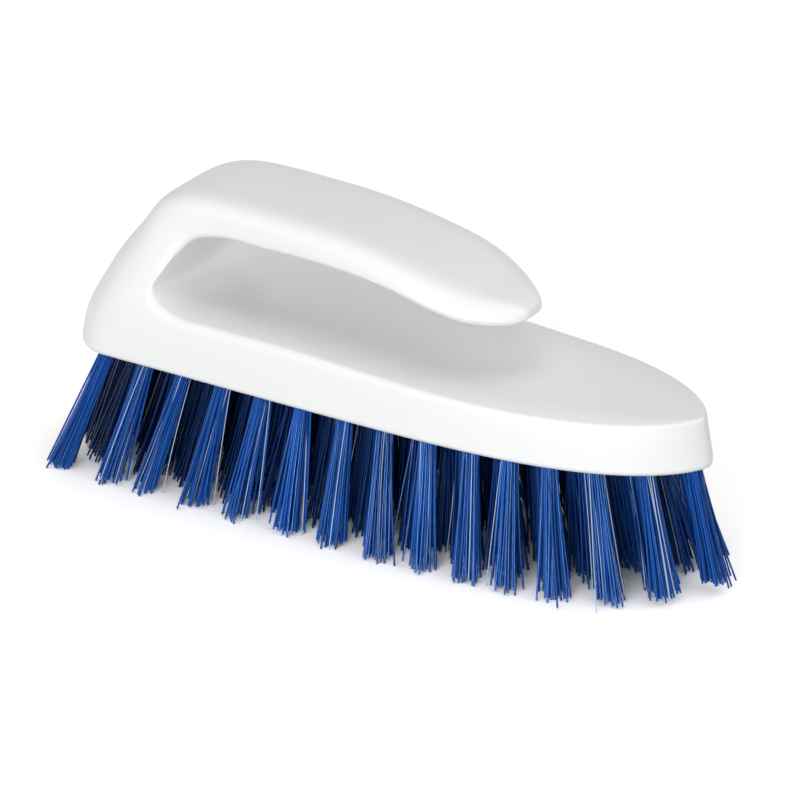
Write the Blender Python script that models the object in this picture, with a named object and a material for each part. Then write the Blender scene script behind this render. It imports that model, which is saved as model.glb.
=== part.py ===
"""Wash brush: a white moulded block with an open hand grip, and blue bristle tufts in its underside.

Lengths are in metres and +Z is up. The nose points along +X, the user's right hand side is -Y, and
the brush stands on its bristle tips, with the origin at the middle of the box that holds it, at
the floor. Shapes are made in the block's own frame, with its origin at the middle of the block's
length on the flat underside, and one empty carries them all to their place.
"""

import math

import bmesh
import bpy
import numpy as np
from mathutils import Matrix, Vector

# Block: iron-shaped in plan, with its widest point towards the rear
block_length = 0.175
block_width = 0.0524
block_height = 0.0131
side_inset = 0.0006
nose_inset = 0.0024
widest_from_rear = 0.0425
rear_corner_depth = 0.014
bottom_edge_radius = 0.0016
front_rim_radius = 0.0012
hollow_rim_depth = 0.0025
hollow_rim_width = 0.0022
deck_rise = 0.0023
deck_rise_from_nose = 0.045
deck_rise_length = 0.0725

# Grip: a riser at the rear of the block that bends forward into a free, drooping end
grip_length = 0.1253
grip_width = 0.0338
grip_thickness = 0.00925
grip_crown = 0.0042
grip_lower_edge_radius = 0.002
grip_end_length = 0.029
riser_depth = 0.0281
gap_height = 0.0206

# Tufts: bundles of filaments folded round a wire anchor and pressed into drilled holes
trim_length = 0.0325
hole_radius = 0.0026
hole_depth = 0.009
hole_inset = 0.005
seat_clearance = 0.0003
root_stand = 0.001
strand_radius = 0.00066
strand_ring_radius = 0.00135
tip_ring_radius = 0.0038
strand_bury = 0.0006
fan_along = 0.0108
fan_across = 0.0095
anchor_width = 0.0062
anchor_height = 0.0018
anchor_thickness = 0.0006

# Each tuft is turned from the last by this angle
tuft_turn = math.radians(40)

# Edges sharper than this stay sharp in shading
sharp_angle = math.radians(35)

# Counts
strands_per_ring = 6
hole_sides = 8
strand_sides = 3
nose_lines = 18
grip_line_steps = 2
section_steps = 6
edge_steps = 3

# Spare length by which a cutter passes the face that it cuts, and the gap that counts as touching
overrun = 0.002
touch_gap = 0.000001

# Where the outer tufts sit along the block, as shares of its length from the middle, rear to front,
# and the number of inner tufts between each pair
column_shares = (
    -0.424,
    -0.357,
    -0.291,
    -0.224,
    -0.156,
    -0.090,
    -0.019,
    0.046,
    0.115,
    0.184,
    0.242,
    0.299,
    0.361,
    0.423,
)
nose_tuft_share = 0.470
inner_tufts_per_column = (3, 2, 3, 2, 3, 2, 3, 2, 3, 2, 2, 2, 1, 0)

# Exponents of the curves of the nose, the rear corners, the grip's crown and its taper
front_length_power = 5.0
front_width_power = 1.5
corner_depth_power = 2.0
corner_width_power = 2.6
crown_depth_power = 2.0
crown_width_power = 6.0
end_taper_power = 2.2

# Share of its width that the tapering grip keeps at its free end
end_width_kept_share = 0.22

# Shares of a section's length: its rounded outer part, and the most that its rims may take of its
# length and half-width
outer_part_share = 0.45
rim_depth_limit_share = 0.33
rim_width_limit_share = 0.8

# The grip in side view, from the hollow's floor round the rear to the free end. Each row is one
# section line: its outer end as shares of the grip's length and of its top's height, its inner end
# as shares of the gap's length and height, and its place between the rear corner's rounding, at 0,
# and the grip's crown, at 1. Rows below the underside are cut off there.
grip_row_shares = (
    (0.339, -0.133, 0.148, 0.000, 0.00),
    (0.235, -0.133, 0.102, 0.005, 0.00),
    (0.132, -0.133, 0.060, 0.039, 0.00),
    (0.044, -0.133, 0.025, 0.112, 0.00),
    (-0.007, -0.133, 0.005, 0.214, 0.00),
    (0.002, 0.087, 0.003, 0.296, 0.00),
    (0.015, 0.230, 0.010, 0.383, 0.00),
    (0.046, 0.391, 0.022, 0.485, 0.00),
    (0.085, 0.563, 0.035, 0.597, 0.10),
    (0.132, 0.721, 0.053, 0.718, 0.30),
    (0.175, 0.870, 0.074, 0.830, 0.55),
    (0.222, 0.952, 0.100, 0.917, 0.80),
    (0.279, 0.991, 0.138, 0.966, 0.95),
    (0.355, 1.000, 0.200, 1.000, 1.00),
    (0.427, 0.997, 0.292, 0.991, 1.00),
    (0.555, 0.982, 0.436, 0.987, 1.00),
    (0.674, 0.943, 0.580, 0.946, 1.00),
    (0.778, 0.883, 0.714, 0.859, 1.00),
    (0.854, 0.822, 0.801, 0.743, 1.00),
    (0.914, 0.767, 0.877, 0.636, 1.00),
    (0.962, 0.729, 0.932, 0.585, 1.00),
    (0.986, 0.704, 0.967, 0.577, 1.00),
    (0.998, 0.683, 0.990, 0.606, 1.00),
    (1.000, 0.661, 1.000, 0.661, 1.00),
)
first_rear_row = 4
first_grip_row = 13

# Colours in linear RGB, and how matte each plastic is
white_colour = (0.86, 0.87, 0.88)
body_roughness = 0.28
blue_colour = (0.01, 0.09, 0.42)
bristle_roughness = 0.4

# Sizes that follow from the others
half_length = block_length / 2
widest_x = widest_from_rear - half_length
deck_top = block_height + deck_rise
grip_top = deck_top + gap_height + grip_thickness
grip_end_x = grip_length - half_length
gap_back_x = riser_depth - half_length
gap_length = grip_end_x - gap_back_x
plug_radius = hole_radius - seat_clearance
ground_z = -trim_length


def new_collection(name):
    collection = bpy.data.collections.new(name)
    bpy.context.scene.collection.children.link(collection)
    return collection


def new_object(name, bm, collection, material=None):
    """Turn a bmesh into a smooth-shaded object in a collection."""
    mesh = bpy.data.meshes.new(name)
    bm.to_mesh(mesh)
    bm.free()
    mesh.shade_smooth()
    mesh.set_sharp_from_angle(angle=sharp_angle)
    obj = bpy.data.objects.new(name, mesh)
    collection.objects.link(obj)
    if material:
        mesh.materials.append(material)
    return obj


def plastic(name, colour, roughness):
    """A plain plastic."""
    material = bpy.data.materials.new(name)
    material.use_nodes = True
    shader = material.node_tree.nodes["Principled BSDF"]
    shader.inputs["Base Color"].default_value = (*colour, 1)
    shader.inputs["Roughness"].default_value = roughness
    shader.inputs["Metallic"].default_value = 0
    return material


def ease(share):
    """Smooth step from 0 to 1."""
    share = min(max(share, 0), 1)
    return share * share * (3 - 2 * share)


def front_width_share(share):
    """Half-width of the plan ahead of its widest point, from 1 there to 0 at the nose."""
    return (1 - share**front_length_power) ** (1 / front_width_power)


def nose_rows(count):
    """Section lines from the nose back to the widest point, closer together at the nose."""
    reach = half_length - widest_x
    depth = -grip_row_shares[0][1] * grip_top
    lean = nose_inset / block_height
    for step in range(count):
        share = 1 - (step / count) ** 2
        outer = Vector((widest_x + (reach + depth * lean) * share, -depth))
        inner_x = widest_x + (reach - nose_inset) * share
        rise = deck_rise * ease((half_length - deck_rise_from_nose - inner_x) / deck_rise_length)
        inner = Vector((inner_x, block_height + rise))
        yield outer, inner, front_width_share(share), 0


def grip_rows(steps):
    """Section lines along the grip, with a smooth curve of so many steps between the listed rows."""
    rows = []
    for outer_x, outer_z, inner_x, inner_z, crown in grip_row_shares:
        outer = (outer_x * grip_length - half_length, outer_z * grip_top)
        inner = (gap_back_x + inner_x * gap_length, deck_top + inner_z * gap_height)
        rows.append((*outer, *inner, crown))
    rows = np.array(rows)
    last = len(rows) - 1
    for index in range(last):
        before, start = rows[max(index - 1, 0)], rows[index]
        end, after = rows[index + 1], rows[min(index + 2, last)]
        # The rear face's line is straight below the underside, so the corner there stays sharp.
        if index + 1 == first_rear_row:
            after = end
        if index == first_rear_row:
            before = start
        for step in range(steps):
            t = step / steps
            yield curve_point(before, start, end, after, t)
    yield rows[last]


def curve_point(before, start, end, after, t):
    """A point of the smooth curve through four points, between the middle two."""
    return (
        start
        + 0.5 * t * (end - before)
        + t * t * (before - 2.5 * start + 2 * end - 0.5 * after)
        + 0.5 * t * t * t * (after - 3 * end + 3 * start - before)
    )


def side_half_width(z):
    """Half-width of the block, riser or grip at a height, before its ends and crown are rounded."""
    if z < block_height:
        return block_width / 2 - side_inset * z / block_height
    reach = grip_top - grip_crown - block_height
    t = min((z - block_height) / reach, 1)
    low, high = block_width / 2 - side_inset, grip_width / 2
    slope = -side_inset / block_height * reach
    bend = t * (1 - t) * (1 - t)
    return low + (high - low) * ease(t) + slope * bend


def end_width_share(x):
    """How the grip tapers towards its free end, before its end is rounded."""
    share = 1 - (grip_end_x - x) / grip_end_length
    share = min(max(share, 0), 1)
    return 1 - (1 - end_width_kept_share) * share**end_taper_power


def rounding(distance, crown):
    """How the half-width grows from an outer face inwards, at the rear corners or on the crown."""
    depth = rear_corner_depth + (grip_crown - rear_corner_depth) * crown
    depth_power = corner_depth_power + (crown_depth_power - corner_depth_power) * crown
    width_power = corner_width_power + (crown_width_power - corner_width_power) * crown
    share = min(distance / depth, 1)
    return (1 - (1 - share) ** depth_power) ** (1 / width_power)


def distance_to(point, path):
    """Least distance from a point to a path of straight pieces."""
    start, end = path[:-1], path[1:]
    along = end - start
    t = ((point - start) * along).sum(axis=1) / (along * along).sum(axis=1)
    nearest = start + along * np.clip(t, 0, 1)[:, None]
    return float(np.sqrt(((point - nearest) ** 2).sum(axis=1)).min())


def half_section(line, outer_path, detail):
    """Half of one section, from the middle of its outer face to the middle of its inner one."""
    outer, inner, width_share, crown, on_grip, rim, rim_width = line
    outer, inner = np.array(outer), np.array(inner)
    length = float(np.linalg.norm(inner - outer))

    def point_at(place):
        return outer + (inner - outer) * place / length

    def width_at(x, z):
        return side_half_width(z) * width_share * (end_width_share(x) if on_grip else 1)

    rim = min(rim, rim_depth_limit_share * length)
    rounded = outer_part_share * length
    turns = [math.pi / 2 * step / detail for step in range(detail + 1)]
    places = [rounded * (1 - math.cos(turn)) for turn in turns]
    places.append((rounded + length - rim) / 2)
    half_width = []
    for place in places:
        point = point_at(place)
        share = rounding(distance_to(point, outer_path), crown)
        half_width.append((place, width_at(*point) * share))
    point = point_at(length - rim)
    width = width_at(*point) * rounding(distance_to(point, outer_path), crown)
    rim_width = min(rim_width, rim_width_limit_share * width)
    for turn in turns[:: max(detail // 3, 1)]:
        place = length - rim * (1 - math.sin(turn))
        half_width.append((place, width - rim_width * (1 - math.cos(turn))))
    half_width.append((length, (width - rim_width) / 2))
    points = [(*outer, 0)]
    for place, width in half_width:
        x, z = point_at(place)
        points.append((x, z, width))
    points.append((*inner, 0))
    return points


def body_lines(nose_count, grip_steps):
    """Every section line of the body, and the path of its rear and top faces and the grip's end."""
    lines = []
    for outer, inner, width_share, crown in nose_rows(nose_count):
        share = ease((outer.x - widest_x) / (half_length - widest_x))
        rim = hollow_rim_depth + (front_rim_radius - hollow_rim_depth) * share
        rim_width = hollow_rim_width + (front_rim_radius - hollow_rim_width) * share
        lines.append((outer, inner, width_share, crown, False, rim, rim_width))
    grip = list(grip_rows(grip_steps))
    for index, (outer_x, outer_z, inner_x, inner_z, crown) in enumerate(grip):
        on_grip = index > first_grip_row * grip_steps
        rim = hollow_rim_depth + (grip_lower_edge_radius - hollow_rim_depth) * crown
        rim_width = hollow_rim_width + (grip_lower_edge_radius - hollow_rim_width) * crown
        ends = (outer_x, outer_z), (inner_x, inner_z)
        lines.append((*ends, 1, crown, on_grip, rim, rim_width))
    outer_path = np.array([row[:2] for row in grip[first_rear_row * grip_steps :]] + [grip[-1][2:4]])
    return lines, outer_path


def cut_level(bm, height, clear):
    """Cut every face at a height, and clear what lies below it if asked."""
    geometry = bm.verts[:] + bm.edges[:] + bm.faces[:]
    level, up = (0, 0, height), (0, 0, 1)
    cut = bmesh.ops.bisect_plane(bm, geom=geometry, plane_co=level, plane_no=up, clear_inner=clear)
    return [item for item in cut["geom_cut"] if isinstance(item, bmesh.types.BMEdge)]


def cut_flat(bm, edge_segments):
    """Cut the loft flat along the underside, and draw its lower edge in to round it."""
    turns = [math.pi / 2 * step / edge_segments for step in range(1, edge_segments)]
    for turn in [0, *turns]:
        cut_level(bm, bottom_edge_radius * (1 - math.sin(turn)), False)
    rim = cut_level(bm, 0, True)
    bm.normal_update()
    moves = []
    for vert in bm.verts:
        if vert.co.z < bottom_edge_radius:
            drop = 1 - vert.co.z / bottom_edge_radius
            inset = bottom_edge_radius * (1 - math.sqrt(max(1 - drop * drop, 0)))
            outward = Vector((vert.normal.x, vert.normal.y, 0)).normalized()
            moves.append((vert, outward * inset))
    for vert, move in moves:
        vert.co -= move
    bmesh.ops.holes_fill(bm, edges=rim, sides=0)


def body_mesh(nose_count, grip_steps, detail, edge_segments):
    """The block, riser and grip as one loft, cut flat along the underside."""
    bm = bmesh.new()
    lines, outer_path = body_lines(nose_count, grip_steps)
    loops = []
    for line in lines:
        half = half_section(line, outer_path, detail)
        right = [(x, -width, z) for x, z, width in half]
        left = [(x, width, z) for x, z, width in half[-2:0:-1]]
        loops.append([bm.verts.new(point) for point in right + left])
    count = len(loops[0])
    for first, second in zip(loops, loops[1:]):
        for i in range(count):
            j = (i + 1) % count
            bm.faces.new((first[i], second[i], second[j], first[j]))
    bmesh.ops.remove_doubles(bm, verts=bm.verts, dist=touch_gap)
    bmesh.ops.dissolve_degenerate(bm, dist=touch_gap, edges=bm.edges)
    bmesh.ops.recalc_face_normals(bm, faces=bm.faces)
    cut_flat(bm, edge_segments)
    bmesh.ops.recalc_face_normals(bm, faces=bm.faces)
    return bm


def plan_half_width(x):
    """Half-width of the underside's outline."""
    if x > widest_x:
        share = (x - widest_x) / (half_length - widest_x)
        return block_width / 2 * front_width_share(share)
    return block_width / 2 * rounding(x + half_length, 0)


def outer_tuft_y(x):
    """How far from the middle line an outer tuft's hole sits, its inset clear of the block's edge."""
    ahead, behind = plan_half_width(x + hole_inset), plan_half_width(x - hole_inset)
    slope = (ahead - behind) / (2 * hole_inset)
    return plan_half_width(x) - hole_inset * math.hypot(1, slope)


def tuft_places():
    """Name, place on the underside and turn of every tuft, mirrored about the middle line."""
    places = [("tuft_nose", nose_tuft_share * block_length, 0, 0)]
    for column, share in enumerate(column_shares):
        x = share * block_length
        y = outer_tuft_y(x)
        label = f"{column + 1:02d}"
        places.append((f"tuft_right_{label}", x, -y, -tuft_turn * column))
        places.append((f"tuft_left_{label}", x, y, tuft_turn * column))
        inner = inner_tufts_per_column[column]
        for row in range(inner):
            across = 2 * (row + 1) - (inner + 1)
            turn = tuft_turn * (column * (across > 0) - column * (across < 0) + across)
            places.append((f"tuft_inner_{label}_{row + 1}", x, y * across / (inner + 1), turn))
    return places


def slanted(x, y, turn):
    """Turn a straight tuft and slant it outwards, more so further from the underside's middle."""
    slant = Matrix.Identity(4)
    slant[0][2] = -fan_along / trim_length * x / half_length
    slant[1][2] = -fan_across / trim_length * y / (block_width / 2)
    return slant @ Matrix.Rotation(turn, 4, "Z")


def add_prism(bm, radius, sides, bottom, top, bottom_place=(0, 0), top_place=(0, 0), turn=0):
    """An upright prism between two heights with a corner towards its turn, slanted if asked."""
    made = bmesh.ops.create_cone(
        bm, cap_ends=True, segments=sides, radius1=radius, radius2=radius, depth=top - bottom
    )["verts"]
    # The primitive has its first corner at +Y, so a quarter turn back puts that at +X.
    turned = Matrix.Rotation(turn - math.pi / 2, 3, "Z")
    for vert in made:
        place = bottom_place if vert.co.z < 0 else top_place
        vert.co = turned @ vert.co + Vector((*place, (top + bottom) / 2))


def add_anchor(bm, clearance):
    """The flat wire across the fold at the top of a tuft, or the room for it."""
    size = (
        anchor_width + 2 * clearance,
        anchor_thickness + 2 * clearance,
        anchor_height + clearance,
    )
    made = bmesh.ops.create_cube(bm, size=1)["verts"]
    for vert in made:
        vert.co = Vector(side * length for side, length in zip(vert.co, size))
        vert.co.z += hole_depth - seat_clearance + clearance - size[2] / 2


def strand_places():
    """Root and tip of each strand of a tuft: one in the middle and a ring round it."""
    places = [((0, 0), (0, 0), 0)]
    for step in range(strands_per_ring):
        turn = 2 * math.pi * step / strands_per_ring
        way = Vector((math.cos(turn), math.sin(turn)))
        places.append((way * strand_ring_radius, way * tip_ring_radius, turn))
    return places


def united(bm_first, others, collection):
    """Union of one bmesh with others, as a mesh."""
    first = new_object("union_base", bm_first, collection)
    helpers = []
    for other in others:
        helper = new_object("union_piece", other, collection)
        union = first.modifiers.new("union", "BOOLEAN")
        union.operation = "UNION"
        union.object = helper
        helpers.append(helper)
    graph = bpy.context.evaluated_depsgraph_get()
    graph.update()
    mesh = bpy.data.meshes.new_from_object(first.evaluated_get(graph))
    for helper in [first, *helpers]:
        bpy.data.objects.remove(helper)
    return mesh


def tuft_mesh(collection):
    """A straight tuft: strands fused to the root plug that fills its hole, with its anchor."""
    plug = bmesh.new()
    top = hole_depth - seat_clearance
    add_prism(plug, plug_radius, hole_sides, -root_stand, top)
    strands = bmesh.new()
    for root, tip, turn in strand_places():
        add_prism(
            strands,
            strand_radius,
            strand_sides,
            ground_z,
            strand_bury - root_stand,
            tip,
            root,
            turn,
        )
    anchor = bmesh.new()
    add_anchor(anchor, 0)
    return united(plug, [strands, anchor], collection)


def hole_cutter_mesh(collection):
    """A straight hole with the notches that the anchor's ends sit in."""
    hole = bmesh.new()
    add_prism(hole, hole_radius, hole_sides, -overrun, hole_depth)
    notch = bmesh.new()
    add_anchor(notch, seat_clearance)
    return united(hole, [notch], collection)


def add_tufts(parts, cutters, material):
    """Every tuft as an object of its own, and one cutter with all their holes."""
    tuft = tuft_mesh(cutters)
    hole = hole_cutter_mesh(cutters)
    holes = bmesh.new()
    for name, x, y, turn in tuft_places():
        slant = slanted(x, y, turn)
        bm = bmesh.new()
        bm.from_mesh(tuft)
        bm.transform(slant)
        new_object(name, bm, parts, material).location = (x, y, 0)
        placed = hole.copy()
        placed.transform(Matrix.Translation((x, y, 0)) @ slant)
        holes.from_mesh(placed)
    cutter = new_object("hole_cutter", holes, cutters)
    cutter.hide_render = True
    cutter.display_type = "WIRE"
    return cutter


def stand_on_ground(name, parts):
    """Carry all pieces with one empty, so that the middle of their box's base is the origin."""
    pieces = [obj for obj in bpy.data.objects if obj.type == "MESH"]
    xs = [obj.location.x + vert.co.x for obj in parts.objects for vert in obj.data.vertices]
    carrier = bpy.data.objects.new(name, None)
    parts.objects.link(carrier)
    for piece in pieces:
        piece.parent = carrier
    carrier.location = (-(min(xs) + max(xs)) / 2, 0, trim_length)


def main():
    for obj in list(bpy.data.objects):
        bpy.data.objects.remove(obj)
    parts = new_collection("wash_brush")
    cutters = new_collection("cutters")
    white = plastic("white_plastic", white_colour, body_roughness)
    blue = plastic("blue_bristle", blue_colour, bristle_roughness)
    loft = body_mesh(nose_lines, grip_line_steps, section_steps, edge_steps)
    body = new_object("brush_body", loft, parts, white)
    drill = body.modifiers.new("tuft_holes", "BOOLEAN")
    drill.operation = "DIFFERENCE"
    drill.object = add_tufts(parts, cutters, blue)
    stand_on_ground("wash_brush_frame", parts)


main()
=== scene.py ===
"""Wash brush: a glossy white moulded block with an open hand grip, and blue bristle tufts.

Lengths are in metres. The nose points along +X, the user's right hand side is -Y, and the brush
stands on its bristle tips. Shapes are made in the block's own frame, with its origin at the middle
of the block's length on the flat underside, and are moved to their place at the end.
"""

import math
import random

import bmesh
import bpy
import numpy as np
from mathutils import Matrix, Vector


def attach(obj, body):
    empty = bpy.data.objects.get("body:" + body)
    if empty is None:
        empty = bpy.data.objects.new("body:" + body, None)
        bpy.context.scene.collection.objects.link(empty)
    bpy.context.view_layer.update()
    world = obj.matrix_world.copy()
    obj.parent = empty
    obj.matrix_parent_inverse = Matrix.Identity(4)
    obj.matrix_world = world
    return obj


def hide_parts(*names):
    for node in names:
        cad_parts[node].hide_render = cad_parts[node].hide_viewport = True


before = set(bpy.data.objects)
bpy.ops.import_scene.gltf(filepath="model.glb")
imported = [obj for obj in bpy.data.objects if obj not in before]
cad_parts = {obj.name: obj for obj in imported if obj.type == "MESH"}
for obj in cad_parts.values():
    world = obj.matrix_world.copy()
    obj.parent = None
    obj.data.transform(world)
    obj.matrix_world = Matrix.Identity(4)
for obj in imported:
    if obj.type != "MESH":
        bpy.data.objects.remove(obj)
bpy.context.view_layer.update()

# Block: iron-shaped in plan, with its widest point towards the rear
block_length = 0.175
block_width = 0.0524
block_height = 0.0131
side_inset = 0.0006
nose_inset = 0.0024
widest_from_rear = 0.0425
rear_corner_depth = 0.014
bottom_edge_radius = 0.0016
front_rim_radius = 0.0012
hollow_rim_depth = 0.0025
hollow_rim_width = 0.0022
deck_rise = 0.0023
deck_rise_from_nose = 0.045
deck_rise_length = 0.0725

# Grip: a riser at the rear of the block that bends forward into a free, drooping end
grip_length = 0.1253
grip_width = 0.0338
grip_thickness = 0.00925
grip_crown = 0.0042
grip_lower_edge_radius = 0.002
grip_end_length = 0.029
riser_depth = 0.0281
gap_height = 0.0206

# Tufts: bundles of filaments in drilled holes
trim_length = 0.0325
hole_radius = 0.0026
hole_depth = 0.009
hole_inset = 0.005
fan_along = 0.0108
fan_across = 0.0095
tuft_turn = math.radians(40)
# Where the outer tufts sit along the block, as shares of its length from the middle, rear to front,
# and the number of inner tufts between each pair
column_shares = (
    -0.424,
    -0.357,
    -0.291,
    -0.224,
    -0.156,
    -0.090,
    -0.019,
    0.046,
    0.115,
    0.184,
    0.242,
    0.299,
    0.361,
    0.423,
)
nose_tuft_share = 0.470
inner_tufts_per_column = (3, 2, 3, 2, 3, 2, 3, 2, 3, 2, 2, 2, 1, 0)

# Spare length by which a cutter passes the face that it cuts, and the gap that counts as touching
overrun = 0.002
touch_gap = 0.000001

# Fineness of the body's mesh, and the angles above which edges stay sharp in shading
hole_sides = 32
nose_lines = 48
grip_line_steps = 6
section_steps = 16
edge_steps = 5
sharp_angle = math.radians(35)
tip_sharp_angle = math.radians(62)

# Filaments
filaments_per_tuft = 48
filament_radius = 0.00026
filament_sides = 6
filament_rings = 6
filament_seat = 0.006
root_spread = 0.0021
outer_tip_spread = 0.0043
inner_tip_spread = 0.0052
tip_spread_change = 0.15
crossing_share = 0.16
tip_scatter = 0.0005
stray_share = 0.07
stray_times = 4
ragged_tips = 0.0018
cut_end = 0.0003
bow_depth = 0.0004
belly_depth = 0.0002
golden_angle = math.radians(137.508)

# Tones: 0.9 is the plain blue of a filament in the open, and lower tones are painted shade, deepest at
# 0, for the inner tufts behind the outer row; above 0.9 are the pale cut ends and a painted highlight
# on a few thin filaments along their length
outer_tone = 0.9
# Painted shade: the inner tufts are painted darker, most at the rear and less towards the nose
inner_shade_tone = 0.3
nose_inner_shade_tone = 0.75
tuft_tone_spread = 0.08
filament_tone_spread = 0.3
cut_tone = 0.96
# Painted highlight: a few filaments, made thinner, are painted pale along their length
highlight_tone = 0.98
highlight_share = 0.1
highlight_width_share = 0.5

# How far each outer tuft's tips sway forward, rear to front, and how much shorter the front tufts
# are, as shares of the trim length
outer_sway_shares = (
    -0.06,
    0.01,
    -0.045,
    0,
    -0.01,
    0.06,
    0.02,
    0.06,
    0.02,
    -0.02,
    -0.06,
    -0.04,
    0,
    -0.04,
)
nose_sway_share = -0.08
outer_short_shares = (0, 0, 0, 0, 0, 0, 0, 0, 0, 0, 0, 0, 0.01, 0.045)
nose_short_share = 0.07

# Staggered tufts behind the gaps of the outer row, down the middle and behind the first column
stagger_inset = 0.0065
stagger_least_y = 0.0035
stagger_middle_least_y = 0.008
rear_pair_share = -0.457
rear_pair_y = 0.0072

# Where the block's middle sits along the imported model
block_x = -0.0045218

# Camera, measured from the photograph's outline
camera_azimuth = 32
camera_elevation = 25.8
camera_distance = 1.2
camera_lens = 216.9
camera_right = 0.00075
camera_up = 0.00369
camera_clip_start = 0.05
camera_clip_end = 20

# World and floor: the world's strength as a light, the floor's colour where it is seen and its
# level as a reflector, and the light that is added where the floor is seen
ambient = 0.24
floor_white = (1.64, 1.625, 1.6)
floor_bounce = 0.12
floor_lift = 0.02
floor_roughness = 0.6
floor_radius = 6
floor_segments = 96

# Lamps: name, azimuth, elevation, width, height and power of each soft box
lamp_distance = 1.6
lamp_aim_height = 0.04
lamps = (
    ("strip", 15, 5, 1.2, 0.12, 9.4),
    ("camera_strip", 32, 8, 1.2, 0.12, 3.2),
    ("front", 5, 20, 1.0, 1.0, 8.6),
    ("left", -60, 15, 1.0, 1.0, 1.2),
    ("right", 90, 25, 1.0, 1.0, 3.2),
    ("back_right", 150, 40, 1.8, 1.8, 6.2),
    ("top", 0, 85, 1.0, 1.0, 5.4),
)

# White plastic: its colour and its roughness run between two values each, by where a noise lies in
# its range
white_colours = ((0.855, 0.862, 0.866, 1), (0.872, 0.878, 0.88, 1))
white_cloud_scale = 16
white_cloud_range = (0.2, 0.8)
white_roughness = (0.29, 0.34)
white_scuff_scale = 60
white_scuff_range = (0.3, 0.7)
white_ripple_scale = 45
white_ripple_strength = 0.02
white_ripple_height = 0.0002
white_ior = 1.49

# Blue filament: its colour by tone, from painted shade at the low end through the plain blue to a
# painted highlight at the top, and its streaks, which are stretched along its length
blue_colours_with_painted_light = (
    (0.2, (0.001, 0.008, 0.045, 1)),
    (0.6, (0.004, 0.045, 0.23, 1)),
    (0.9, (0.009, 0.105, 0.48, 1)),
    (1, (0.55, 0.66, 0.85, 1)),
)
blue_streak_stretch = (900, 900, 60)
blue_streak_strength = 0.1
blue_streak_height = 0.0001
blue_roughness = (0.09, 0.18)
blue_ior = 1.55
blue_gloss_level = 0.3
blue_gloss_tint = (0.45, 0.68, 1, 1)

# Exponents of the curves of the nose, the rear corners, the grip's crown and its taper
front_length_power = 5.0
front_width_power = 1.5
corner_depth_power = 2.0
corner_width_power = 2.6
crown_depth_power = 2.0
crown_width_power = 6.0
end_taper_power = 2.2

# Share of its width that the tapering grip keeps at its free end
end_width_kept_share = 0.22

# Shares of a section's length: its rounded outer part, and the most that its rims may take of its
# length and half-width
outer_part_share = 0.45
rim_depth_limit_share = 0.33
rim_width_limit_share = 0.8

# The grip in side view, from the hollow's floor round the rear to the free end. Each row is one
# section line: its outer end as shares of the grip's length and of its top's height, its inner end
# as shares of the gap's length and height, and its place between the rear corner's rounding, at 0,
# and the grip's crown, at 1. Rows below the underside are cut off there.
grip_row_shares = (
    (0.339, -0.133, 0.148, 0.000, 0.00),
    (0.235, -0.133, 0.102, 0.005, 0.00),
    (0.132, -0.133, 0.060, 0.039, 0.00),
    (0.044, -0.133, 0.025, 0.112, 0.00),
    (-0.007, -0.133, 0.005, 0.214, 0.00),
    (0.002, 0.087, 0.003, 0.296, 0.00),
    (0.015, 0.230, 0.010, 0.383, 0.00),
    (0.046, 0.391, 0.022, 0.485, 0.00),
    (0.085, 0.563, 0.035, 0.597, 0.10),
    (0.132, 0.721, 0.053, 0.718, 0.30),
    (0.175, 0.870, 0.074, 0.830, 0.55),
    (0.222, 0.952, 0.100, 0.917, 0.80),
    (0.279, 0.991, 0.138, 0.966, 0.95),
    (0.355, 1.000, 0.200, 1.000, 1.00),
    (0.427, 0.997, 0.292, 0.991, 1.00),
    (0.555, 0.982, 0.436, 0.987, 1.00),
    (0.674, 0.943, 0.580, 0.946, 1.00),
    (0.778, 0.883, 0.714, 0.859, 1.00),
    (0.854, 0.822, 0.801, 0.743, 1.00),
    (0.914, 0.767, 0.877, 0.636, 1.00),
    (0.962, 0.729, 0.932, 0.585, 1.00),
    (0.986, 0.704, 0.967, 0.577, 1.00),
    (0.998, 0.683, 0.990, 0.606, 1.00),
    (1.000, 0.661, 1.000, 0.661, 1.00),
)
first_rear_row = 4
first_grip_row = 13

# Sizes that follow from the others
half_length = block_length / 2
widest_x = widest_from_rear - half_length
deck_top = block_height + deck_rise
grip_top = deck_top + gap_height + grip_thickness
grip_end_x = grip_length - half_length
gap_back_x = riser_depth - half_length
gap_length = grip_end_x - gap_back_x


def ease(share):
    """Smooth step from 0 to 1."""
    share = min(max(share, 0), 1)
    return share * share * (3 - 2 * share)


def front_width_share(share):
    """Half-width of the plan ahead of its widest point, from 1 there to 0 at the nose."""
    return (1 - share**front_length_power) ** (1 / front_width_power)


def nose_rows(count):
    """Section lines from the nose back to the widest point, closer together at the nose."""
    reach = half_length - widest_x
    depth = -grip_row_shares[0][1] * grip_top
    lean = nose_inset / block_height
    for step in range(count):
        share = 1 - (step / count) ** 2
        outer = Vector((widest_x + (reach + depth * lean) * share, -depth))
        inner_x = widest_x + (reach - nose_inset) * share
        rise = deck_rise * ease((half_length - deck_rise_from_nose - inner_x) / deck_rise_length)
        inner = Vector((inner_x, block_height + rise))
        yield outer, inner, front_width_share(share), 0


def grip_rows(steps):
    """Section lines along the grip, with a smooth curve of so many steps between the listed rows."""
    rows = []
    for outer_x, outer_z, inner_x, inner_z, crown in grip_row_shares:
        outer = (outer_x * grip_length - half_length, outer_z * grip_top)
        inner = (gap_back_x + inner_x * gap_length, deck_top + inner_z * gap_height)
        rows.append((*outer, *inner, crown))
    rows = np.array(rows)
    last = len(rows) - 1
    for index in range(last):
        before, start = rows[max(index - 1, 0)], rows[index]
        end, after = rows[index + 1], rows[min(index + 2, last)]
        # The rear face's line is straight below the underside, so the corner there stays sharp.
        if index + 1 == first_rear_row:
            after = end
        if index == first_rear_row:
            before = start
        for step in range(steps):
            t = step / steps
            yield curve_point(before, start, end, after, t)
    yield rows[last]


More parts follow.
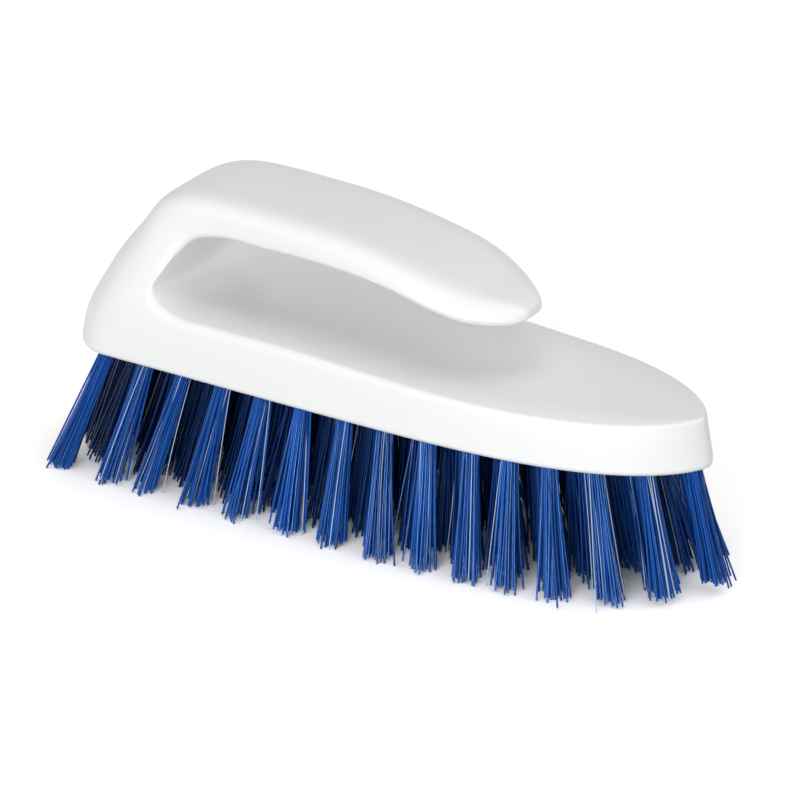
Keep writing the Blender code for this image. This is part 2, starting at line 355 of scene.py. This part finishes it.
def curve_point(before, start, end, after, t):
    """A point of the smooth curve through four points, between the middle two."""
    return (
        start
        + 0.5 * t * (end - before)
        + t * t * (before - 2.5 * start + 2 * end - 0.5 * after)
        + 0.5 * t * t * t * (after - 3 * end + 3 * start - before)
    )


def side_half_width(z):
    """Half-width of the block, riser or grip at a height, before its ends and crown are rounded."""
    if z < block_height:
        return block_width / 2 - side_inset * z / block_height
    reach = grip_top - grip_crown - block_height
    t = min((z - block_height) / reach, 1)
    low, high = block_width / 2 - side_inset, grip_width / 2
    slope = -side_inset / block_height * reach
    bend = t * (1 - t) * (1 - t)
    return low + (high - low) * ease(t) + slope * bend


def end_width_share(x):
    """How the grip tapers towards its free end, before its end is rounded."""
    share = 1 - (grip_end_x - x) / grip_end_length
    share = min(max(share, 0), 1)
    return 1 - (1 - end_width_kept_share) * share**end_taper_power


def rounding(distance, crown):
    """How the half-width grows from an outer face inwards, at the rear corners or on the crown."""
    depth = rear_corner_depth + (grip_crown - rear_corner_depth) * crown
    depth_power = corner_depth_power + (crown_depth_power - corner_depth_power) * crown
    width_power = corner_width_power + (crown_width_power - corner_width_power) * crown
    share = min(distance / depth, 1)
    return (1 - (1 - share) ** depth_power) ** (1 / width_power)


def distance_to(point, path):
    """Least distance from a point to a path of straight pieces."""
    start, end = path[:-1], path[1:]
    along = end - start
    t = ((point - start) * along).sum(axis=1) / (along * along).sum(axis=1)
    nearest = start + along * np.clip(t, 0, 1)[:, None]
    return float(np.sqrt(((point - nearest) ** 2).sum(axis=1)).min())


def half_section(line, outer_path, detail):
    """Half of one section, from the middle of its outer face to the middle of its inner one."""
    outer, inner, width_share, crown, on_grip, rim, rim_width = line
    outer, inner = np.array(outer), np.array(inner)
    length = float(np.linalg.norm(inner - outer))

    def point_at(place):
        return outer + (inner - outer) * place / length

    def width_at(x, z):
        return side_half_width(z) * width_share * (end_width_share(x) if on_grip else 1)

    rim = min(rim, rim_depth_limit_share * length)
    rounded = outer_part_share * length
    turns = [math.pi / 2 * step / detail for step in range(detail + 1)]
    places = [rounded * (1 - math.cos(turn)) for turn in turns]
    places.append((rounded + length - rim) / 2)
    half_width = []
    for place in places:
        point = point_at(place)
        share = rounding(distance_to(point, outer_path), crown)
        half_width.append((place, width_at(*point) * share))
    point = point_at(length - rim)
    width = width_at(*point) * rounding(distance_to(point, outer_path), crown)
    rim_width = min(rim_width, rim_width_limit_share * width)
    for turn in turns[:: max(detail // 3, 1)]:
        place = length - rim * (1 - math.sin(turn))
        half_width.append((place, width - rim_width * (1 - math.cos(turn))))
    half_width.append((length, (width - rim_width) / 2))
    points = [(*outer, 0)]
    for place, width in half_width:
        x, z = point_at(place)
        points.append((x, z, width))
    points.append((*inner, 0))
    return points


def body_lines(nose_count, grip_steps):
    """Every section line of the body, and the path of its rear and top faces and the grip's end."""
    lines = []
    for outer, inner, width_share, crown in nose_rows(nose_count):
        share = ease((outer.x - widest_x) / (half_length - widest_x))
        rim = hollow_rim_depth + (front_rim_radius - hollow_rim_depth) * share
        rim_width = hollow_rim_width + (front_rim_radius - hollow_rim_width) * share
        lines.append((outer, inner, width_share, crown, False, rim, rim_width))
    grip = list(grip_rows(grip_steps))
    for index, (outer_x, outer_z, inner_x, inner_z, crown) in enumerate(grip):
        on_grip = index > first_grip_row * grip_steps
        rim = hollow_rim_depth + (grip_lower_edge_radius - hollow_rim_depth) * crown
        rim_width = hollow_rim_width + (grip_lower_edge_radius - hollow_rim_width) * crown
        ends = (outer_x, outer_z), (inner_x, inner_z)
        lines.append((*ends, 1, crown, on_grip, rim, rim_width))
    outer_path = np.array([row[:2] for row in grip[first_rear_row * grip_steps :]] + [grip[-1][2:4]])
    return lines, outer_path


def cut_level(bm, height, clear):
    """Cut every face at a height, and clear what lies below it if asked."""
    geometry = bm.verts[:] + bm.edges[:] + bm.faces[:]
    level, up = (0, 0, height), (0, 0, 1)
    cut = bmesh.ops.bisect_plane(bm, geom=geometry, plane_co=level, plane_no=up, clear_inner=clear)
    return [item for item in cut["geom_cut"] if isinstance(item, bmesh.types.BMEdge)]


def cut_flat(bm, edge_segments):
    """Cut the loft flat along the underside, and draw its lower edge in to round it."""
    turns = [math.pi / 2 * step / edge_segments for step in range(1, edge_segments)]
    for turn in [0, *turns]:
        cut_level(bm, bottom_edge_radius * (1 - math.sin(turn)), False)
    rim = cut_level(bm, 0, True)
    bm.normal_update()
    moves = []
    for vert in bm.verts:
        if vert.co.z < bottom_edge_radius:
            drop = 1 - vert.co.z / bottom_edge_radius
            inset = bottom_edge_radius * (1 - math.sqrt(max(1 - drop * drop, 0)))
            outward = Vector((vert.normal.x, vert.normal.y, 0)).normalized()
            moves.append((vert, outward * inset))
    for vert, move in moves:
        vert.co -= move
    bmesh.ops.holes_fill(bm, edges=rim, sides=0)


def body_mesh(nose_count, grip_steps, detail, edge_segments):
    """The block, riser and grip as one loft, cut flat along the underside."""
    bm = bmesh.new()
    lines, outer_path = body_lines(nose_count, grip_steps)
    loops = []
    for line in lines:
        half = half_section(line, outer_path, detail)
        right = [(x, -width, z) for x, z, width in half]
        left = [(x, width, z) for x, z, width in half[-2:0:-1]]
        loops.append([bm.verts.new(point) for point in right + left])
    count = len(loops[0])
    for first, second in zip(loops, loops[1:]):
        for i in range(count):
            j = (i + 1) % count
            bm.faces.new((first[i], second[i], second[j], first[j]))
    bmesh.ops.remove_doubles(bm, verts=bm.verts, dist=touch_gap)
    bmesh.ops.dissolve_degenerate(bm, dist=touch_gap, edges=bm.edges)
    bmesh.ops.recalc_face_normals(bm, faces=bm.faces)
    cut_flat(bm, edge_segments)
    bmesh.ops.recalc_face_normals(bm, faces=bm.faces)
    return bm


def plan_half_width(x):
    """Half-width of the underside's outline."""
    if x > widest_x:
        share = (x - widest_x) / (half_length - widest_x)
        return block_width / 2 * front_width_share(share)
    return block_width / 2 * rounding(x + half_length, 0)


def outer_tuft_y(x):
    """How far from the middle line an outer tuft's hole sits, its inset clear of the block's edge."""
    ahead, behind = plan_half_width(x + hole_inset), plan_half_width(x - hole_inset)
    slope = (ahead - behind) / (2 * hole_inset)
    return plan_half_width(x) - hole_inset * math.hypot(1, slope)


def tuft_places():
    """Name, place on the underside, turn and column of every CAD tuft, mirrored about the middle."""
    places = [("tuft_nose", nose_tuft_share * block_length, 0, 0, None)]
    for column, share in enumerate(column_shares):
        x = share * block_length
        y = outer_tuft_y(x)
        label = f"{column + 1:02d}"
        places.append((f"tuft_right_{label}", x, -y, -tuft_turn * column, column))
        places.append((f"tuft_left_{label}", x, y, tuft_turn * column, column))
        inner = inner_tufts_per_column[column]
        for row in range(inner):
            across = 2 * (row + 1) - (inner + 1)
            turn = tuft_turn * (column * (across > 0) - column * (across < 0) + across)
            places.append((f"tuft_inner_{label}_{row + 1}", x, y * across / (inner + 1), turn, column))
    return places


def stagger_places():
    """Tufts between the columns and behind the first. Each belongs to an inner tuft's piece."""
    x, y = rear_pair_share * block_length, rear_pair_y
    places = [("tuft_inner_01_1", x, -y, tuft_turn, 0), ("tuft_inner_01_3", x, y, -tuft_turn, 0)]
    for column, inner in enumerate(inner_tufts_per_column[:-1]):
        x = (column_shares[column] + column_shares[column + 1]) / 2 * block_length
        y = outer_tuft_y(x) - stagger_inset
        if y < stagger_least_y:
            continue
        label = f"{column + 1:02d}"
        places.append((f"tuft_inner_{label}_1", x, -y, tuft_turn * column, column))
        places.append((f"tuft_inner_{label}_{inner}", x, y, -tuft_turn * column, column))
        if y > stagger_middle_least_y:
            places.append((f"tuft_inner_{label}_1", x, 0, tuft_turn, column))
    return places


def tuft_lean(x, y):
    """How far a tuft's tip stands out from its root, along and across the block."""
    return Vector((fan_along * x / half_length, fan_across * y / (block_width / 2)))


def finish_piece(name, mesh, material, nodes):
    """Put a piece made in the block's frame in its place, standing for these CAD nodes."""
    mesh.transform(Matrix.Translation((block_x, 0, trim_length)))
    piece = bpy.data.objects.new(name, mesh)
    bpy.context.scene.collection.objects.link(piece)
    mesh.materials.append(material)
    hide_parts(*nodes)
    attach(piece, "root")
    return piece


def hole_cutters():
    """One object with a round, slanted hole for each tuft."""
    bm = bmesh.new()
    for _, x, y, _, _ in tuft_places() + stagger_places():
        lean = -tuft_lean(x, y) / trim_length
        made = bmesh.ops.create_cone(
            bm,
            cap_ends=True,
            segments=hole_sides,
            radius1=hole_radius,
            radius2=hole_radius,
            depth=hole_depth + overrun,
        )["verts"]
        for vert in made:
            z = vert.co.z + (hole_depth - overrun) / 2
            vert.co = Vector((vert.co.x + x + lean.x * z, vert.co.y + y + lean.y * z, z))
    mesh = bpy.data.meshes.new("hole_cutters")
    bm.to_mesh(mesh)
    bm.free()
    cutter = bpy.data.objects.new("hole_cutters", mesh)
    bpy.context.scene.collection.objects.link(cutter)
    return cutter


def make_body(material):
    bm = body_mesh(nose_lines, grip_line_steps, section_steps, edge_steps)
    mesh = bpy.data.meshes.new("body_loft")
    bm.to_mesh(mesh)
    bm.free()
    loft = bpy.data.objects.new("body_loft", mesh)
    bpy.context.scene.collection.objects.link(loft)
    cutter = hole_cutters()
    drill = loft.modifiers.new("tuft_holes", "BOOLEAN")
    drill.operation = "DIFFERENCE"
    drill.object = cutter
    graph = bpy.context.evaluated_depsgraph_get()
    drilled = bpy.data.meshes.new_from_object(loft.evaluated_get(graph))
    bpy.data.objects.remove(loft)
    bpy.data.objects.remove(cutter)
    drilled.shade_smooth()
    drilled.set_sharp_from_angle(angle=sharp_angle)
    return finish_piece("body_moulding", drilled, material, ["brush_body"])


def filament(root, way, tip, bow, turn, radius):
    """Vertices of one filament: straight up its hole, then in a gentle bow down to its cut end."""
    points = [root - way * filament_seat, root]
    cut_share = 1 - cut_end / (tip - root).length
    for step in range(1, filament_rings + 1):
        s = step / filament_rings * cut_share
        points.append(root.lerp(tip, s) + bow * (4 * s * (1 - s)))
    points.append(tip)
    verts = []
    for index, point in enumerate(points):
        ahead = points[min(index + 1, len(points) - 1)]
        behind = points[max(index - 1, 0)]
        along = (ahead - behind).normalized()
        side = along.cross(Vector((0, 1, 0))).normalized()
        other = along.cross(side)
        for corner in range(filament_sides):
            angle = turn + 2 * math.pi * corner / filament_sides
            verts.append(point + radius * (math.cos(angle) * side + math.sin(angle) * other))
    return verts


def tuft_habit(name, column):
    """A tuft's sway forward and shortness, as shares of the trim length, its tip spread and tone; the
    inner tufts' tone is painted shade, deepest at the rear and lighter towards the nose.
    """
    if name == "tuft_nose":
        return nose_sway_share, nose_short_share, outer_tip_spread, outer_tone
    if "inner" in name:
        share = ease(column / len(column_shares))
        return 0, 0, inner_tip_spread, inner_shade_tone + (nose_inner_shade_tone - inner_shade_tone) * share
    return outer_sway_shares[column], outer_short_shares[column], outer_tip_spread, outer_tone


def add_bundle(draw, name, place, verts, faces, tones_and_painted_light):
    """Add the filaments of one tuft, which spread from its hole to ragged, cut tips."""
    x, y, turn, column = place
    sway, short, tip_spread, tone_and_painted_light = tuft_habit(name, column)
    lean = tuft_lean(x, y)
    way = Vector((lean.x, lean.y, -trim_length)).normalized()
    lean.x += sway * trim_length
    tone_and_painted_light *= 1 - tuft_tone_spread * draw.random()
    for index in range(filaments_per_tuft):
        reach = math.sqrt((index + 0.5) / filaments_per_tuft)
        angle = turn + golden_angle * index
        out = Vector((math.cos(angle), math.sin(angle))) * reach
        root = Vector((*(out * root_spread), 0))
        cross_angle = draw.uniform(0, 2 * math.pi)
        crossing = Vector((math.cos(cross_angle), math.sin(cross_angle))) * math.sqrt(draw.random())
        spread = tip_spread * (1 + tip_spread_change * draw.gauss(0, 1))
        scatter = Vector((draw.gauss(0, tip_scatter), draw.gauss(0, tip_scatter)))
        if draw.random() < stray_share:
            scatter *= stray_times
        raised = ragged_tips * draw.random() ** 2 + short * trim_length
        tip_out = out.lerp(crossing, crossing_share) * spread
        tip = Vector((*(tip_out + lean + scatter), raised - trim_length))
        bow_angle = draw.uniform(0, 2 * math.pi)
        bow_size = bow_depth * draw.random()
        bow = Vector((math.cos(bow_angle), math.sin(bow_angle), 0)) * bow_size
        bow += Vector((out.x, out.y, 0)) * -belly_depth
        own_tone_and_painted_light = tone_and_painted_light * (1 - filament_tone_spread * draw.random())
        radius = filament_radius
        # A painted highlight: a few filaments, made thinner, are painted pale along their length
        if draw.random() < highlight_share * ease(tone_and_painted_light):
            own_tone_and_painted_light = highlight_tone
            radius *= highlight_width_share
        points = filament(root, way, tip, bow, angle, radius)
        start = len(verts)
        verts.extend((point.x + x, point.y + y, point.z) for point in points)
        loops = len(points) // filament_sides
        for ring in range(loops - 1):
            for corner in range(filament_sides):
                a = start + ring * filament_sides + corner
                b = start + ring * filament_sides + (corner + 1) % filament_sides
                faces.append((a, b, b + filament_sides, a + filament_sides))
        faces.append(tuple(start + corner for corner in reversed(range(filament_sides))))
        last = start + (loops - 1) * filament_sides
        faces.append(tuple(last + corner for corner in range(filament_sides)))
        tones_and_painted_light.extend([own_tone_and_painted_light] * (len(points) - filament_sides))
        tones_and_painted_light.extend([cut_tone] * filament_sides)


def make_tuft(name, places, material):
    """One piece with the tuft of a CAD node and any staggered tuft that goes with it."""
    draw = random.Random(name)
    verts, faces, tones_and_painted_light = [], [], []
    for place in places:
        add_bundle(draw, name, place, verts, faces, tones_and_painted_light)
    mesh = bpy.data.meshes.new(name)
    mesh.from_pydata(verts, [], faces)
    # The tones, with the painted shade and the painted highlights, go to the material as an attribute
    attribute = mesh.attributes.new("tone_and_painted_light", "FLOAT", "POINT")
    attribute.data.foreach_set("value", tones_and_painted_light)
    mesh.shade_smooth()
    mesh.set_sharp_from_angle(angle=tip_sharp_angle)
    mesh.validate()
    bundle = name.replace("tuft", "bristles")
    return finish_piece(bundle, mesh, material, [name])


def make_bristles(material):
    bundles = {}
    for name, *place in tuft_places() + stagger_places():
        bundles.setdefault(name, []).append(place)
    for name, places in bundles.items():
        make_tuft(name, places, material)


def new_material(name):
    material = bpy.data.materials.new(name)
    material.use_nodes = True
    tree = material.node_tree
    return material, tree, tree.nodes["Principled BSDF"]


def add_node(tree, kind, **settings):
    node = tree.nodes.new(kind)
    for key, value in settings.items():
        setattr(node, key, value)
    return node


def add_bump(tree, shader, height, strength, distance):
    """Let a height ripple the surface of a shader."""
    bump = add_node(tree, "ShaderNodeBump")
    bump.inputs["Strength"].default_value = strength
    bump.inputs["Distance"].default_value = distance
    tree.links.new(height, bump.inputs["Height"])
    tree.links.new(bump.outputs["Normal"], shader.inputs["Normal"])


def white_plastic():
    """Gloss polypropylene: slight cloudiness in its colour, a faint moulded ripple, fine scuffs."""
    material, tree, shader = new_material("white_plastic")
    link = tree.links.new
    place = add_node(tree, "ShaderNodeTexCoord").outputs["Object"]
    noises = []
    for scale, detail in ((white_cloud_scale, 0), (white_scuff_scale, 2), (white_ripple_scale, 0)):
        noise = add_node(tree, "ShaderNodeTexNoise")
        noise.inputs["Scale"].default_value = scale
        noise.inputs["Detail"].default_value = detail
        link(place, noise.inputs["Vector"])
        noises.append(noise.outputs["Fac"])
    cloud, scuff, ripple = noises
    colour = add_node(tree, "ShaderNodeValToRGB")
    colour.color_ramp.interpolation = "EASE"
    stops = zip(colour.color_ramp.elements, white_cloud_range, white_colours)
    for stop, position, white in stops:
        stop.position = position
        stop.color = white
    link(cloud, colour.inputs["Fac"])
    link(colour.outputs["Color"], shader.inputs["Base Color"])
    rough = add_node(tree, "ShaderNodeMapRange", interpolation_type="SMOOTHSTEP")
    rough.inputs["From Min"].default_value, rough.inputs["From Max"].default_value = white_scuff_range
    rough.inputs["To Min"].default_value, rough.inputs["To Max"].default_value = white_roughness
    link(scuff, rough.inputs["Value"])
    link(rough.outputs["Result"], shader.inputs["Roughness"])
    add_bump(tree, shader, ripple, white_ripple_strength, white_ripple_height)
    shader.inputs["IOR"].default_value = white_ior
    return material


def blue_filament():
    """Satin polyester: each filament has its own tone, painted shade on the inner tufts and a painted
    highlight on a few thin ones, fine streaks along it and a pale cut end.
    """
    material, tree, shader = new_material("blue_filament")
    link = tree.links.new
    tone_and_painted_light = add_node(tree, "ShaderNodeAttribute", attribute_name="tone_and_painted_light")
    colour = add_node(tree, "ShaderNodeValToRGB")
    ramp = colour.color_ramp
    first, *middle, last = blue_colours_with_painted_light
    for stop, (position, blue) in zip(list(ramp.elements), (first, last)):
        stop.position = position
        stop.color = blue
    for position, blue in middle:
        ramp.elements.new(position).color = blue
    link(tone_and_painted_light.outputs["Fac"], colour.inputs["Fac"])
    link(colour.outputs["Color"], shader.inputs["Base Color"])
    place = add_node(tree, "ShaderNodeTexCoord")
    stretch = add_node(tree, "ShaderNodeMapping")
    stretch.inputs["Scale"].default_value = blue_streak_stretch
    streak = add_node(tree, "ShaderNodeTexNoise")
    rough = add_node(tree, "ShaderNodeMapRange")
    rough.inputs["To Min"].default_value, rough.inputs["To Max"].default_value = blue_roughness
    link(place.outputs["Object"], stretch.inputs["Vector"])
    link(stretch.outputs["Vector"], streak.inputs["Vector"])
    link(streak.outputs["Fac"], rough.inputs["Value"])
    link(rough.outputs["Result"], shader.inputs["Roughness"])
    add_bump(tree, shader, streak.outputs["Fac"], blue_streak_strength, blue_streak_height)
    shader.inputs["IOR"].default_value = blue_ior
    shader.inputs["Specular IOR Level"].default_value = blue_gloss_level
    shader.inputs["Specular Tint"].default_value = blue_gloss_tint
    return material


def seen_ray(tree):
    """1 for a ray from the camera or by way of a mirror or glass, and 0 for one that carries light."""
    path = add_node(tree, "ShaderNodeLightPath")
    seen = path.outputs["Is Camera Ray"]
    for kind in ("Is Glossy Ray", "Is Transmission Ray"):
        either = add_node(tree, "ShaderNodeMath", operation="MAXIMUM")
        tree.links.new(seen, either.inputs[0])
        tree.links.new(path.outputs[kind], either.inputs[1])
        seen = either.outputs["Value"]
    return seen


def make_floor():
    """A wide pale floor: white where it is seen, with the brush's shadow, and dim as a reflector."""
    material, tree, shader = new_material("floor")
    shader.inputs["Roughness"].default_value = floor_roughness
    seen = seen_ray(tree)
    colour = add_node(tree, "ShaderNodeMix", data_type="RGBA")
    colour.inputs["A"].default_value = (*[floor_bounce] * 3, 1)
    colour.inputs["B"].default_value = (*floor_white, 1)
    tree.links.new(seen, colour.inputs["Factor"])
    tree.links.new(colour.outputs["Result"], shader.inputs["Base Color"])
    lift = add_node(tree, "ShaderNodeMath", operation="MULTIPLY")
    lift.inputs[1].default_value = floor_lift
    tree.links.new(seen, lift.inputs[0])
    shader.inputs["Emission Color"].default_value = (1, 1, 1, 1)
    tree.links.new(lift.outputs["Value"], shader.inputs["Emission Strength"])
    bm = bmesh.new()
    bmesh.ops.create_circle(bm, cap_ends=True, segments=floor_segments, radius=floor_radius)
    mesh = bpy.data.meshes.new("floor")
    bm.to_mesh(mesh)
    bm.free()
    mesh.materials.append(material)
    floor = bpy.data.objects.new("floor", mesh)
    bpy.context.scene.collection.objects.link(floor)


def make_world():
    """White where it is seen, also in reflections, and dim as a light."""
    world = bpy.data.worlds.new("studio")
    bpy.context.scene.world = world
    world.use_nodes = True
    tree = world.node_tree
    background = tree.nodes["Background"]
    level = add_node(tree, "ShaderNodeMapRange")
    level.inputs["To Min"].default_value = ambient
    level.inputs["To Max"].default_value = 1
    tree.links.new(seen_ray(tree), level.inputs["Value"])
    background.inputs["Color"].default_value = (1, 1, 1, 1)
    tree.links.new(level.outputs["Result"], background.inputs["Strength"])


def add_softbox(name, azimuth, elevation, width, height, power):
    """An area light that faces the brush, placed by the same angles as the camera."""
    a, e = math.radians(azimuth), math.radians(elevation)
    back = Vector((math.sin(a) * math.cos(e), -math.cos(a) * math.cos(e), math.sin(e)))
    lamp = bpy.data.lights.new(name, "AREA")
    lamp.shape = "RECTANGLE"
    lamp.size, lamp.size_y = width, height
    lamp.energy = power
    light = bpy.data.objects.new(name, lamp)
    light.location = Vector((0, 0, lamp_aim_height)) + back * lamp_distance
    light.rotation_mode = "QUATERNION"
    light.rotation_quaternion = (-back).to_track_quat("-Z", "Y")
    bpy.context.scene.collection.objects.link(light)


def make_camera():
    a, e = math.radians(camera_azimuth), math.radians(camera_elevation)
    right = Vector((math.cos(a), math.sin(a), 0))
    up = Vector((-math.sin(e) * math.sin(a), math.sin(e) * math.cos(a), math.cos(e)))
    back = Vector((math.sin(a) * math.cos(e), -math.cos(a) * math.cos(e), math.sin(e)))
    target = Vector((block_x, 0, trim_length)) - camera_right * right - camera_up * up
    data = bpy.data.cameras.new("camera")
    data.lens = camera_lens
    data.clip_start, data.clip_end = camera_clip_start, camera_clip_end
    camera = bpy.data.objects.new("camera", data)
    camera.location = target + back * camera_distance
    camera.rotation_mode = "QUATERNION"
    camera.rotation_quaternion = (-back).to_track_quat("-Z", "Y")
    bpy.context.scene.collection.objects.link(camera)
    bpy.context.scene.camera = camera


def main():
    bpy.context.scene.view_settings.view_transform = "Standard"
    make_camera()
    make_world()
    make_floor()
    for lamp in lamps:
        add_softbox(*lamp)
    make_body(white_plastic())
    make_bristles(blue_filament())


main()
